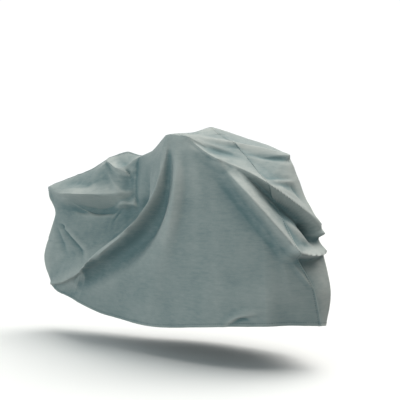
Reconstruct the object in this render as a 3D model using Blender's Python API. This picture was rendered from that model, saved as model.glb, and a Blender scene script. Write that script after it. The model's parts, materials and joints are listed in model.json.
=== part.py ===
"""Bicycle cover, hanging as it does over a bicycle that stands under it.

Two panels of thin non-woven cloth are sewn together by one seam, which runs up
the rear end, along the top and down the front end. The cloth rests on the rear
rack, the saddle, both handlebar grips and the front basket, and falls from them
to an open hem. The cover is hollow and open below.

Frame: +X is the bicycle's front, +Y its left, +Z up. Every size in the tables
is in metres, with heights measured from the ground; the model is then moved so
that its origin is the rest point, under the top at the handlebar's middle.
"""

from collections import namedtuple

import bmesh
import bpy
import numpy as np
from mathutils import Vector

# Driving sizes, in metres
CLOTH = 0.0020  # thickness of the sheet
SEAM_GAP = 0.0004  # between the two panels along their seam
SPINE_X = (-0.65, 0.55)  # the spine the folds stand away from, from end to end
SPINE_Z = 0.60
SPINE_FLATTEN = 0.35  # folds stand out sideways rather than up or down
CREASE_ANGLE = 1.0  # radians between faces, above which an edge is shaded sharp
REST_POINT = (0.26, 0.0, 1.105)  # where the bicycle's handlebar carries the cover
SEAM_CREASE = 0.7  # how crisp a ridge the top seam makes, from 0 to 1
COLUMNS = 54  # steps from the rear end to the front end
ROWS_BETWEEN = (4, 7, 7, 12, 9)  # steps seam to shoulder, edge, waist, skirt and hem
BUMPS = 49  # bumps along a fold's curve
SHARP_POWER = 1.6  # how hollow the sides of a crisp fold are

# The cover is described by sections across it, from the rear end to the front
# end. The seam table gives where each section starts on the top seam, and how
# crisp a crease the section makes across the cloth, from 0 to 1.
SeamPoint = namedtuple("SeamPoint", "name x y z crease")
SEAM = [
    SeamPoint("rear tip", -0.905, 0.0, 0.820, 0.0),
    SeamPoint("rack end", -0.860, 0.0, 0.835, 0.0),
    SeamPoint("rack", -0.700, 0.0, 0.878, 0.2),
    SeamPoint("rack front", -0.520, 0.0, 0.932, 0.2),
    SeamPoint("saddle rear", -0.430, 0.0, 0.974, 0.5),
    SeamPoint("saddle", -0.285, 0.0, 1.009, 0.3),
    SeamPoint("saddle nose", -0.180, 0.0, 0.988, 0.8),
    SeamPoint("top tube", -0.020, 0.0, 1.035, 0.9),
    SeamPoint("swag", 0.160, 0.0, 1.095, 0.9),
    SeamPoint("grip rear", 0.215, 0.0, 1.113, 0.4),
    SeamPoint("grip", 0.270, -0.005, 1.118, 0.0),
    SeamPoint("grip front", 0.330, -0.030, 1.090, 0.3),
    SeamPoint("basket back", 0.430, -0.085, 1.046, 0.3),
    SeamPoint("basket", 0.520, -0.136, 1.004, 0.4),
    SeamPoint("basket front", 0.570, -0.150, 0.967, 0.7),
    SeamPoint("front seam", 0.615, -0.158, 0.917, 0.9),
]

# Each side then has one row for each section, with the places it passes: its
# shoulder, its edge, its waist, its skirt and its hem. The sections fan out
# from the grip, as the cloth's own folds do. The last two columns tell how
# crisp a crease runs along the shoulder and along the edge, from 0 to 1.
Side = namedtuple(
    "Side",
    "shoulder_x shoulder_y shoulder_z edge_x edge_y edge_z waist_x waist_y waist_z "
    "skirt_x skirt_y skirt_z hem_x hem_y hem_z shoulder_crease edge_crease",
)
PLACE_COLUMNS = 15  # the rest tell how crisp the creases are
REAR_END = Side(
    -0.900, 0.0, 0.800, -0.885, 0.0, 0.755, -0.84, 0.0, 0.665,
    -0.905, 0.0, 0.42, -0.85, 0.0, 0.262, 0.0, 0.0,
)
FRONT_END = Side(
    0.688, -0.177, 0.842, 0.757, -0.172, 0.735, 0.812, -0.175, 0.585,
    0.888, -0.105, 0.36, 0.876, -0.06, 0.212, 0.2, 0.0,
)
RIGHT_SIDE = [
    REAR_END,
    Side(-0.855, -0.025, 0.828, -0.840, -0.045, 0.802, -0.81, -0.025, 0.690,
         -0.880, -0.050, 0.42, -0.835, -0.035, 0.260, 0.0, 0.4),
    Side(-0.700, -0.055, 0.830, -0.670, -0.095, 0.775, -0.70, -0.040, 0.685,
         -0.775, -0.080, 0.42, -0.795, -0.055, 0.251, 0.0, 0.9),
    Side(-0.520, -0.055, 0.865, -0.500, -0.112, 0.768, -0.52, -0.042, 0.675,
         -0.660, -0.095, 0.42, -0.755, -0.070, 0.241, 0.0, 1.0),
    Side(-0.405, -0.045, 0.950, -0.380, -0.112, 0.768, -0.38, -0.040, 0.668,
         -0.570, -0.105, 0.42, -0.715, -0.080, 0.232, 0.7, 1.0),
    Side(-0.270, -0.090, 0.905, -0.260, -0.106, 0.775, -0.25, -0.045, 0.675,
         -0.510, -0.115, 0.42, -0.680, -0.088, 0.224, 0.9, 0.9),
    Side(-0.160, -0.055, 0.978, -0.170, -0.070, 0.810, -0.16, -0.055, 0.700,
         -0.455, -0.125, 0.42, -0.645, -0.096, 0.216, 0.6, 0.3),
    Side(0.020, -0.160, 1.005, 0.020, -0.195, 0.860, -0.02, -0.145, 0.690,
         -0.405, -0.150, 0.43, -0.605, -0.105, 0.208, 0.8, 0.0),
    Side(0.212, -0.292, 1.068, 0.185, -0.318, 0.860, 0.06, -0.305, 0.680,
         -0.330, -0.200, 0.45, -0.540, -0.120, 0.196, 0.8, 0.0),
    Side(0.238, -0.298, 1.070, 0.222, -0.302, 0.870, 0.13, -0.280, 0.630,
         -0.080, -0.232, 0.38, -0.290, -0.165, 0.155, 0.8, 0.0),
    Side(0.280, -0.300, 1.068, 0.300, -0.318, 0.870, 0.27, -0.300, 0.620,
         0.180, -0.275, 0.38, 0.050, -0.235, 0.145, 0.8, 0.0),
    Side(0.335, -0.298, 1.058, 0.400, -0.310, 0.870, 0.43, -0.295, 0.620,
         0.420, -0.275, 0.38, 0.400, -0.260, 0.180, 0.7, 0.0),
    Side(0.445, -0.262, 1.000, 0.540, -0.275, 0.870, 0.59, -0.275, 0.620,
         0.590, -0.255, 0.38, 0.580, -0.230, 0.200, 0.3, 0.0),
    Side(0.545, -0.235, 0.945, 0.635, -0.247, 0.830, 0.71, -0.242, 0.610,
         0.720, -0.225, 0.38, 0.710, -0.195, 0.210, 0.3, 0.0),
    Side(0.620, -0.207, 0.895, 0.700, -0.210, 0.780, 0.770, -0.210, 0.595,
         0.810, -0.170, 0.38, 0.800, -0.130, 0.214, 0.2, 0.0),
    FRONT_END,
]
LEFT_SIDE = [
    REAR_END,
    Side(-0.855, 0.030, 0.825, -0.850, 0.055, 0.795, -0.81, 0.040, 0.680,
         -0.880, 0.050, 0.42, -0.840, 0.040, 0.245, 0.0, 0.4),
    Side(-0.700, 0.050, 0.845, -0.680, 0.095, 0.790, -0.68, 0.060, 0.675,
         -0.720, 0.090, 0.42, -0.710, 0.080, 0.225, 0.0, 0.7),
    Side(-0.520, 0.055, 0.875, -0.500, 0.108, 0.785, -0.50, 0.070, 0.665,
         -0.550, 0.115, 0.42, -0.560, 0.110, 0.200, 0.0, 0.8),
    Side(-0.405, 0.055, 0.950, -0.380, 0.110, 0.785, -0.38, 0.075, 0.660,
         -0.420, 0.130, 0.42, -0.440, 0.130, 0.185, 0.7, 0.8),
    Side(-0.270, 0.085, 0.925, -0.260, 0.112, 0.785, -0.25, 0.085, 0.660,
         -0.280, 0.145, 0.42, -0.300, 0.150, 0.172, 0.8, 0.6),
    Side(-0.180, 0.075, 0.905, -0.170, 0.105, 0.790, -0.16, 0.110, 0.660,
         -0.190, 0.165, 0.42, -0.210, 0.170, 0.165, 0.5, 0.3),
    Side(-0.010, 0.140, 1.010, -0.015, 0.160, 0.860, -0.02, 0.180, 0.660,
         -0.060, 0.205, 0.42, -0.080, 0.205, 0.160, 0.6, 0.0),
    Side(0.190, 0.285, 1.075, 0.160, 0.305, 0.870, 0.13, 0.290, 0.650,
         0.080, 0.270, 0.40, 0.050, 0.250, 0.150, 0.5, 0.0),
    Side(0.220, 0.297, 1.080, 0.210, 0.315, 0.870, 0.19, 0.310, 0.640,
         0.160, 0.295, 0.40, 0.140, 0.265, 0.150, 0.5, 0.0),
    Side(0.255, 0.300, 1.080, 0.270, 0.310, 0.870, 0.27, 0.305, 0.640,
         0.270, 0.290, 0.40, 0.260, 0.270, 0.150, 0.5, 0.0),
    Side(0.330, 0.290, 1.062, 0.390, 0.310, 0.860, 0.42, 0.300, 0.640,
         0.430, 0.285, 0.40, 0.420, 0.265, 0.160, 0.4, 0.0),
    Side(0.470, 0.190, 1.035, 0.560, 0.255, 0.850, 0.61, 0.260, 0.630,
         0.640, 0.260, 0.40, 0.620, 0.235, 0.175, 0.3, 0.0),
    Side(0.600, 0.095, 1.000, 0.640, 0.145, 0.830, 0.700, 0.160, 0.620,
         0.745, 0.165, 0.36, 0.735, 0.150, 0.190, 0.3, 0.0),
    Side(0.697, 0.000, 0.963, 0.772, 0.005, 0.820, 0.848, 0.000, 0.640,
         0.922, 0.000, 0.35, 0.892, 0.000, 0.203, 0.6, 0.0),
    FRONT_END,
]

# Folds. Each is a crest, or a trough where its heights are negative, along a
# curve seen from the side or from the front quarter: start, two handles and
# end, each as a distance to the right in that view and a height. The lift of
# the fold and its width to the left and right of the curve's run follow.
RIGHT, LEFT, FRONT = "right", "left", "front"
SIDE_ON = (1.0, 0.0)  # how much of x and of y counts to the right in a view
QUARTER = (0.803, 0.596)
# Where a fold of each kind fades out across the cover: the sign of y that it
# lies on, where it has gone, and over what width
FADES = {RIGHT: (-1, 0.03, 0.05), LEFT: (1, 0.03, 0.05), FRONT: (-1, 0.16, 0.12)}
Fold = namedtuple(
    "Fold",
    "name side view u0 z0 u1 z1 u2 z2 u3 z3 "
    "high_start high_mid high_end wide_left wide_right crisp",
)
FOLDS = [
    Fold("swag crest", RIGHT, SIDE_ON, 0.235, 1.060, 0.235, 0.66, -0.06, 0.50, -0.78, 0.27,
         0.0, 0.030, 0.022, 0.07, 0.045, 0.35),
    Fold("swag foot", RIGHT, SIDE_ON, -0.12, 0.53, -0.30, 0.44, -0.55, 0.40, -0.80, 0.25,
         0.0, 0.060, 0.0, 0.12, 0.10, 0.1),
    Fold("hollow beside swag", RIGHT, SIDE_ON, 0.272, 1.00, 0.262, 0.68, 0.06, 0.42, -0.46, 0.30,
         0.0, -0.040, -0.015, 0.07, 0.10, 0.0),
    Fold("soft crest from grip", RIGHT, SIDE_ON, 0.26, 1.03, 0.31, 0.80, 0.26, 0.55, 0.02, 0.36,
         0.0, 0.016, 0.0, 0.08, 0.10, 0.0),
    Fold("ridge over basket", FRONT, QUARTER, 0.079, 1.065, 0.24, 1.03, 0.40, 0.995, 0.56, 0.963,
         0.0, 0.012, 0.006, 0.04, 0.03, 0.6),
    Fold("ridge from grip", FRONT, QUARTER, 0.085, 1.060, 0.14, 1.02, 0.20, 0.965, 0.27, 0.928,
         0.0, 0.012, 0.016, 0.04, 0.05, 0.6),
    Fold("front ridge", FRONT, QUARTER, 0.250, 0.936, 0.36, 0.905, 0.52, 0.780, 0.715, 0.628,
         0.010, 0.036, 0.020, 0.07, 0.040, 0.6),
    Fold("nose of front ridge", FRONT, QUARTER, 0.620, 0.690, 0.64, 0.670, 0.655, 0.650, 0.672, 0.620,
         0.0, 0.026, 0.062, 0.026, 0.040, 0.3),
    Fold("second front ridge", FRONT, QUARTER, 0.250, 0.925, 0.335, 0.845, 0.43, 0.70, 0.555, 0.56,
         0.008, 0.040, 0.030, 0.060, 0.07, 0.3),
    Fold("hollow under front ridge", FRONT, QUARTER, 0.40, 0.81, 0.48, 0.75, 0.57, 0.68, 0.65, 0.615,
         0.0, -0.022, -0.015, 0.030, 0.03, 0.1),
    Fold("front pocket", FRONT, QUARTER, 0.605, 0.662, 0.63, 0.635, 0.65, 0.61, 0.665, 0.585,
         -0.005, -0.036, -0.012, 0.03, 0.03, 0.0),
    Fold("sag beside stem", FRONT, QUARTER, 0.04, 1.080, 0.09, 1.088, 0.14, 1.100, 0.19, 1.112,
         0.0, -0.014, 0.0, 0.045, 0.045, 0.0),
    Fold("flap over front wheel", FRONT, QUARTER, 0.545, 0.550, 0.60, 0.535, 0.65, 0.530, 0.72, 0.54,
         0.010, 0.034, 0.004, 0.034, 0.012, 0.2),
    Fold("crease behind neck", RIGHT, SIDE_ON, -0.80, 0.61, -0.77, 0.56, -0.72, 0.49, -0.62, 0.43,
         -0.006, -0.010, 0.0, 0.03, 0.04, 0.3),
    Fold("left swag", LEFT, SIDE_ON, 0.20, 1.05, 0.16, 0.75, 0.02, 0.52, -0.36, 0.32,
         0.0, 0.026, 0.0, 0.10, 0.08, 0.2),
    Fold("left ridge", LEFT, SIDE_ON, 0.33, 1.05, 0.44, 0.90, 0.56, 0.66, 0.62, 0.40,
         0.0, 0.022, 0.0, 0.07, 0.07, 0.2),
    Fold("left middle fold", LEFT, SIDE_ON, 0.27, 1.00, 0.27, 0.80, 0.24, 0.60, 0.20, 0.36,
         0.0, 0.014, 0.0, 0.06, 0.06, 0.1),
]


def monotone_curve(knots, values, at):
    """Values at the given places on a smooth curve through the knots that adds no humps."""
    knots, values = np.asarray(knots, float), np.asarray(values, float)
    steps = np.diff(knots)
    slopes = np.diff(values, axis=0) / steps.reshape(-1, *[1] * (values.ndim - 1))
    tangents = np.empty_like(values)
    tangents[0], tangents[-1] = slopes[0], slopes[-1]
    for i in range(1, len(knots) - 1):
        before, after = slopes[i - 1], slopes[i]
        first = 2 * steps[i] + steps[i - 1]
        second = steps[i] + 2 * steps[i - 1]
        same_way = before * after > 0
        safe_before = np.where(same_way, before, 1.0)
        safe_after = np.where(same_way, after, 1.0)
        mean = (first + second) / (first / safe_before + second / safe_after)
        tangents[i] = np.where(same_way, mean, 0.0)
    at = np.clip(np.asarray(at, float), knots[0], knots[-1])
    cell = np.clip(np.searchsorted(knots, at, side="right") - 1, 0, len(knots) - 2)
    shape = (-1, *[1] * (values.ndim - 1))
    width = steps[cell].reshape(shape)
    u = ((at - knots[cell]) / steps[cell]).reshape(shape)
    return (
        values[cell] * (1 + 2 * u) * (1 - u) ** 2
        + tangents[cell] * width * u * (1 - u) ** 2
        + values[cell + 1] * u**2 * (3 - 2 * u)
        + tangents[cell + 1] * width * u**2 * (u - 1)
    )


def control_points(side):
    """The sections' six places as an array: section, place, xyz."""
    seam = np.array([[p.x, p.y, p.z] for p in SEAM])
    down = np.array(side, float)[:, :PLACE_COLUMNS].reshape(len(side), -1, 3)
    return np.concatenate([seam[:, None], down], axis=1)


def section_places():
    """How far along the cover each section lies, from 0 to 1, shared by both sides."""
    both = np.concatenate([control_points(RIGHT_SIDE), control_points(LEFT_SIDE)], axis=1)
    spacing = np.linalg.norm(np.diff(both, axis=0), axis=2).mean(axis=1)
    places = np.concatenate([[0.0], np.cumsum(spacing)])
    return places / places[-1]


def creased_curve(knots, values, at, crease):
    """A smooth curve through the knots, drawn nearer to straight runs where creased."""
    smooth = monotone_curve(knots, values, at)
    cell = np.clip(np.searchsorted(knots, at, side="right") - 1, 0, len(knots) - 2)
    knots = np.asarray(knots, float)
    u = (at - knots[cell]) / (knots[cell + 1] - knots[cell])
    u = u.reshape(-1, *[1] * (values.ndim - 1))
    straight = values[cell] * (1 - u) + values[cell + 1] * u
    weight = np.interp(at, knots, crease).reshape(u.shape)
    return smooth + (straight - smooth) * weight


def base_grid(side, other, columns, rows_between):
    """Points of one side before its folds: column, row, xyz. Row 0 is the top seam.

    The curves run on past the seam into the other side, so that the cloth
    bends smoothly where the two panels meet.
    """
    near, far = control_points(side), control_points(other)
    places = section_places()
    around = np.concatenate([far[1:2], near, far[-2:-1]])
    knots = np.concatenate([[-places[1]], places, [2 - places[-2]]])
    creases = np.array([0.0] + [p.crease for p in SEAM] + [0.0])
    at = np.linspace(0, 1, columns + 1)
    along = creased_curve(knots, around, at, creases)
    across = creased_curve(knots, np.concatenate([near[1:2], far, near[-2:-1]]), at, creases)
    levels = np.arange(-1, along.shape[1])
    down = np.concatenate(
        [np.linspace(k, k + 1, n, endpoint=False) for k, n in enumerate(rows_between)]
        + [[float(levels[-1])]]
    )
    sharp = np.array(side, float)[:, PLACE_COLUMNS:]
    sharp = np.stack([np.interp(at, places, sharp[:, k]) for k in range(2)], axis=1)
    grid = []
    for column, over, crease in zip(along, across, sharp):
        row_crease = [0.0, SEAM_CREASE, *crease, 0.0, 0.0, 0.0]
        whole = np.concatenate([over[1:2], column])
        grid.append(creased_curve(levels, whole, down, row_crease))
    return np.stack(grid)


def face_normals(grid):
    """The outward direction at each point of a grid, not yet of unit length."""
    along = np.gradient(grid, axis=0)
    down = np.gradient(grid, axis=1)
    return np.cross(along, down)


def shared_normals(right, left):
    """Unit outward directions of both grids, the same for both along their seam."""
    n_right, n_left = -face_normals(right), face_normals(left)
    n_right /= np.linalg.norm(n_right, axis=2, keepdims=True) + 1e-12
    n_left /= np.linalg.norm(n_left, axis=2, keepdims=True) + 1e-12
    mean = n_right + n_left
    for where in ((slice(None), 0), (0, slice(None)), (-1, slice(None))):
        n_right[where] = mean[where]
        n_left[where] = mean[where]
    n_right /= np.linalg.norm(n_right, axis=2, keepdims=True) + 1e-12
    n_left /= np.linalg.norm(n_left, axis=2, keepdims=True) + 1e-12
    return n_right, n_left


def bezier(fold, t):
    """Points along a fold's curve in its view."""
    ends = np.array(
        [[fold.u0, fold.z0], [fold.u1, fold.z1], [fold.u2, fold.z2], [fold.u3, fold.z3]]
    )
    t = t[:, None]
    return (
        ends[0] * (1 - t) ** 3
        + ends[1] * 3 * t * (1 - t) ** 2
        + ends[2] * 3 * t**2 * (1 - t)
        + ends[3] * t**3
    )


def smooth_step(x):
    x = np.clip(x, 0.0, 1.0)
    return x * x * (3 - 2 * x)


def fold_height(fold, points):
    """How far a fold lifts each point off the plain form.

    The fold is the outline of round bumps set close together along its curve,
    each wider to one side of the curve than to the other.
    """
    flat = points.reshape(-1, 3)
    seen = np.stack([flat[:, :2] @ fold.view, flat[:, 2]], axis=1)
    along = np.linspace(0, 1, BUMPS)
    path = bezier(fold, along)
    runs = np.gradient(path, axis=0)
    runs /= np.linalg.norm(runs, axis=1, keepdims=True)
    heights = [fold.high_start, fold.high_mid, fold.high_end]
    heights = monotone_curve([0, 0.5, 1], heights, along)
    sign = 1.0 if fold.high_mid > 0 else -1.0
    best = np.zeros(len(flat))
    for place, run, height in zip(path, runs, heights):
        away = seen - place
        distance = np.linalg.norm(away, axis=1) + 1e-9
        turn = (run[0] * away[:, 1] - run[1] * away[:, 0]) / distance
        left_share = smooth_step(0.5 + 0.5 * turn)
        width = fold.wide_right + (fold.wide_left - fold.wide_right) * left_share
        u = np.clip(distance / width, 0, 1)
        round_top = (1 - u**2) ** 2
        sharp_top = (1 - u) ** SHARP_POWER
        profile = round_top + (sharp_top - round_top) * fold.crisp
        best = np.maximum(best, profile * height * sign)
    side, gone, width = FADES[fold.side]
    share = smooth_step((side * flat[:, 1] + gone) / width)
    return (best * sign * share).reshape(points.shape[:2])


def fold_direction(points):
    """Unit directions away from the spine, in which folds stand off the plain form."""
    away = points.copy()
    away[..., 0] -= np.clip(points[..., 0], *SPINE_X)
    away[..., 2] = (points[..., 2] - SPINE_Z) * SPINE_FLATTEN
    return away / (np.linalg.norm(away, axis=-1, keepdims=True) + 1e-9)


def cover_grids(columns=COLUMNS, rows_between=ROWS_BETWEEN):
    """The outer face of both sides with their folds, and its outward directions."""
    right = base_grid(RIGHT_SIDE, LEFT_SIDE, columns, rows_between)
    left = base_grid(LEFT_SIDE, RIGHT_SIDE, columns, rows_between)
    right_lift = sum(fold_height(f, right) for f in FOLDS)
    left_lift = sum(fold_height(f, left) for f in FOLDS)
    right = right + fold_direction(right) * right_lift[..., None]
    left = left + fold_direction(left) * left_lift[..., None]
    n_right, n_left = shared_normals(right, left)
    return right, left, n_right, n_left


def open_seam(grid, gap):
    """Draws the seam's points in towards their own panel, by half the seam's gap."""
    moved = grid.copy()
    for edge, inner in (
        ((slice(None), 0), (slice(None), 1)),
        ((0, slice(None)), (1, slice(None))),
        ((-1, slice(None)), (-2, slice(None))),
    ):
        inwards = grid[inner] - grid[edge]
        length = np.linalg.norm(inwards, axis=1, keepdims=True)
        moved[edge] += inwards / length * gap
    return moved


def panel_mesh(name, outer, inner):
    """One closed sheet between its outer and inner faces."""
    mesh_maker = bmesh.new()
    columns, rows = outer.shape[:2]

    def add(points):
        return [
            [mesh_maker.verts.new(Vector(points[i, j])) for j in range(rows)]
            for i in range(columns)
        ]

    out, back = add(outer), add(inner)
    for i in range(columns - 1):
        for j in range(rows - 1):
            for sheet in (out, back):
                corners = (sheet[i][j], sheet[i + 1][j], sheet[i + 1][j + 1], sheet[i][j + 1])
                mesh_maker.faces.new(corners)
    rim = (
        [(i, 0) for i in range(columns - 1)]
        + [(columns - 1, j) for j in range(rows - 1)]
        + [(i, rows - 1) for i in range(columns - 1, 0, -1)]
        + [(0, j) for j in range(rows - 1, 0, -1)]
    )
    for (a, b), (c, d) in zip(rim, rim[1:] + rim[:1]):
        mesh_maker.faces.new((out[a][b], out[c][d], back[c][d], back[a][b]))
    bmesh.ops.recalc_face_normals(mesh_maker, faces=mesh_maker.faces)
    mesh = bpy.data.meshes.new(name)
    mesh_maker.to_mesh(mesh)
    mesh_maker.free()
    mesh.shade_smooth()
    mesh.set_sharp_from_angle(angle=CREASE_ANGLE)
    return mesh


def cloth_material(name):
    """Grey-green non-woven cloth with a faint sheen."""
    material = bpy.data.materials.new(name)
    material.use_nodes = True
    shader = material.node_tree.nodes["Principled BSDF"]
    shader.inputs["Base Color"].default_value = (0.20, 0.25, 0.24, 1.0)
    shader.inputs["Roughness"].default_value = 0.62
    shader.inputs["Metallic"].default_value = 0.0
    return material


def build_cover():
    """Makes both panels."""
    right, left, n_right, n_left = cover_grids()
    for name, grid, normals in (("right", right, n_right), ("left", left, n_left)):
        placed = grid - np.array(REST_POINT)
        outer = open_seam(placed, SEAM_GAP / 2)
        inner = open_seam(placed - normals * CLOTH, SEAM_GAP / 2)
        panel_name = name + "_panel"
        panel = bpy.data.objects.new(panel_name, panel_mesh(panel_name, outer, inner))
        panel.data.materials.append(cloth_material(name + "_cloth"))
        bpy.context.scene.collection.objects.link(panel)


def main():
    for old in list(bpy.data.objects):
        bpy.data.objects.remove(old)
    build_cover()


main()
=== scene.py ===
"""Bicycle cover, hanging as it does over a bicycle that stands under it.

Two panels of thin non-woven cloth, sewn together by one seam along the top and
both ends, with a turned hem, the thread of both seams, and a plain stage.
"""

import json
import math
from collections import namedtuple

import bmesh
import bpy
import numpy as np
from mathutils import Matrix, Vector


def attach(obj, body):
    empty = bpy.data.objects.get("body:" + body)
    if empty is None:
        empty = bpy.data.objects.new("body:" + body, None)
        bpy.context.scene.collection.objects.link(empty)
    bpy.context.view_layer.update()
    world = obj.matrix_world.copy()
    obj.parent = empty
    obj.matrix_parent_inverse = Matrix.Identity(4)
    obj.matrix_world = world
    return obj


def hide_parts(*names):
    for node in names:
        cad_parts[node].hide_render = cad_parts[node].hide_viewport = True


bl_info = {
    "name": "Bicycle cover",
    "version": (1, 0, 0),
    "blender": (4, 5, 0),
    "location": "View3D > Sidebar > Cover",
    "description": "Builds a draped bicycle cover with its seams, hem and stage",
    "category": "Add Mesh",
}

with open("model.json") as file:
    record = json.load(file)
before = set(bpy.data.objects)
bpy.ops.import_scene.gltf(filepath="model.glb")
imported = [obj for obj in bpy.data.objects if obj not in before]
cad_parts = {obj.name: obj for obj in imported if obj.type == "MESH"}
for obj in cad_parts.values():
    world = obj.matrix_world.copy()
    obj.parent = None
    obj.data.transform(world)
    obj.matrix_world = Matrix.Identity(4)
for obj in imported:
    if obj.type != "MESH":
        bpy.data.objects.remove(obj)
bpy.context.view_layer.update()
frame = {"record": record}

# ---------------------------------------------------------------- form tables

# The tables are in metres, with x to the bicycle's front, y to its left and z
# up from the ground. The rest point is the model's origin.
REST_POINT = (0.26, 0.0, 1.105)
SPINE_X = (-0.65, 0.55)  # folds stand away from a spine with these ends
SPINE_Z = 0.60
SPINE_FLATTEN = 0.35  # folds stand out sideways rather than up or down
SEAM_CREASE = 0.7  # how crisp a ridge the top seam makes, from 0 to 1
CREASE_ANGLE = 1.2  # radians between faces, above which an edge is shaded sharp

# How finely the sheets are made
END_STEPS = (0.0, 0.0012, 0.0027, 0.0048)  # first columns from an end seam
COLUMNS = 288  # columns between the end steps
# Where the columns crowd: place along the cover, from 0 to 1, and how closely they stand there
CROWDING = ((0.0, 1.1), (0.50, 1.1), (0.58, 0.6), (0.68, 0.6), (0.76, 1.3), (1.0, 1.3))
# Rows between levels: how many, and how they crowd at their start and their end
ROWS = ((26, 1.6, 1.0), (36, 1.0, 1.0), (36, 1.0, 1.0), (38, 1.0, 1.0), (30, 1.0, 1.6))
CURVE_RUNS = 40  # straight runs that a fold's curve is measured on
SHARP_POWER = 1.6  # how hollow the sides of a crisp fold are

# Unevenness of the cloth: how many to the metre and how high, in metres
SWELLS_PER_M = 4.5
SWELL = 0.0035
STREAKS = np.array([46.0, 3.2])  # across the whole cover and down it
STREAK = 0.0006
CRUMPLES_PER_M = 10.0
CRUMPLE = 0.0040
FINE_CRUMPLES = 2.1  # how much finer the second crumples are, at half the height
FINE_SHIFT = 7.3  # sets the second crumples apart from the first
CALM = 0.25  # share of the crumples on the smooth middle of the cover
STREAKED = (1.0, 0.35)  # height where the streaks start, and over what depth they grow
# Where the cloth is rumpled, to the rear and to the front: the x where that starts
# and the width over which it grows, then the height and its width
REAR_RUMPLE = (0.0, 0.3, 0.35, 0.2)
FRONT_RUMPLE = (0.55, 0.2, 0.5, 0.1)
SLACK_SEED = 11
PUCKERS_PER_M = 55.0
PUCKER_SEED = 5
SEAM_PUCKER = 0.35  # share of the seam ridge's height that puckers
HEM_PUCKER = (0.9, 0.5)  # thickness of the turned hem in cloths, and how much puckers
HEM_STEP = 0.003  # width over which the hem's second layer starts
HEM_SEWN = 0.003  # how far below the hem's top its stitches run
SEWN_GROOVE = (0.0022, 0.0007)  # half width and depth of the groove that they pull
# The cloth's painted shade in folds and painted highlight on crests, from its shape: columns or
# rows to a neighbour, and share
PAINTED_SHADE_REACHES = ((1, 0.5), (3, 0.6), (7, 0.8), (20, 1.2))
PAINTED_SHADE_GAIN = 3.0

# The room's light: a faint light from all sides and four soft patches of light.
# Each patch lies about a direction, and grows from nothing to its full light
# between two cosines of the angle to that direction.
ROOM_COLOUR = (0.035, 0.050, 0.055)
Patch = namedtuple("Patch", "name x y z start full red green blue")
PATCHES = (
    Patch("ceiling", 0.0, 0.32, 0.95, 0.5, 1.0, 1.10, 1.08, 1.03),
    Patch("near wall", 0.02, -0.99, -0.05, 0.2, 1.0, 0.68, 0.69, 0.675),
    Patch("near left", -0.72, -0.68, 0.14, 0.4, 1.0, 0.17, 0.28, 0.31),
    Patch("far wall", -0.596, 0.803, 0.0, 0.82, 0.93, 1.0, 1.0, 1.0),
)
KEY_COLOUR = (1.0, 0.97, 0.93)
# The thread: how far its ends sink and its middle stands up, in thread widths
STITCH_ENDS = -0.9
STITCH_TOP = 1.6
STITCH_UNEVENNESS = 0.12  # share by which stitches differ in length
HEM_THREAD_TINT = 2.2  # how much lighter the hem's thread is than the seam's
KEY_AWAY = 5.0  # how far off the main light stands; its light doesn't depend on it
FLOOR_REACH = 60.0  # half the width of the floor
FLOOR_CLOUD = 0.985  # the floor's darker patches, as a share of its colour

SeamPoint = namedtuple("SeamPoint", "name x y z crease")
SEAM = [
    SeamPoint("rear tip", -0.905, 0.0, 0.82, 0.0),
    SeamPoint("rack end", -0.86, 0.0, 0.835, 0.0),
    SeamPoint("rack", -0.7, 0.0, 0.878, 0.2),
    SeamPoint("rack front", -0.52, 0.0, 0.932, 0.2),
    SeamPoint("saddle rear", -0.43, 0.0, 0.974, 0.5),
    SeamPoint("saddle", -0.285, 0.0, 1.009, 0.3),
    SeamPoint("saddle nose", -0.18, 0.0, 0.988, 0.8),
    SeamPoint("top tube", -0.02, 0.0, 1.035, 0.9),
    SeamPoint("swag", 0.16, 0.0, 1.095, 0.9),
    SeamPoint("grip rear", 0.215, 0.0, 1.113, 0.4),
    SeamPoint("grip", 0.27, -0.005, 1.118, 0.0),
    SeamPoint("grip front", 0.33, -0.03, 1.09, 0.3),
    SeamPoint("basket back", 0.43, -0.085, 1.046, 0.3),
    SeamPoint("basket", 0.52, -0.136, 1.004, 0.4),
    SeamPoint("basket front", 0.57, -0.15, 0.967, 0.7),
    SeamPoint("front seam", 0.615, -0.158, 0.917, 0.9),
]

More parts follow.
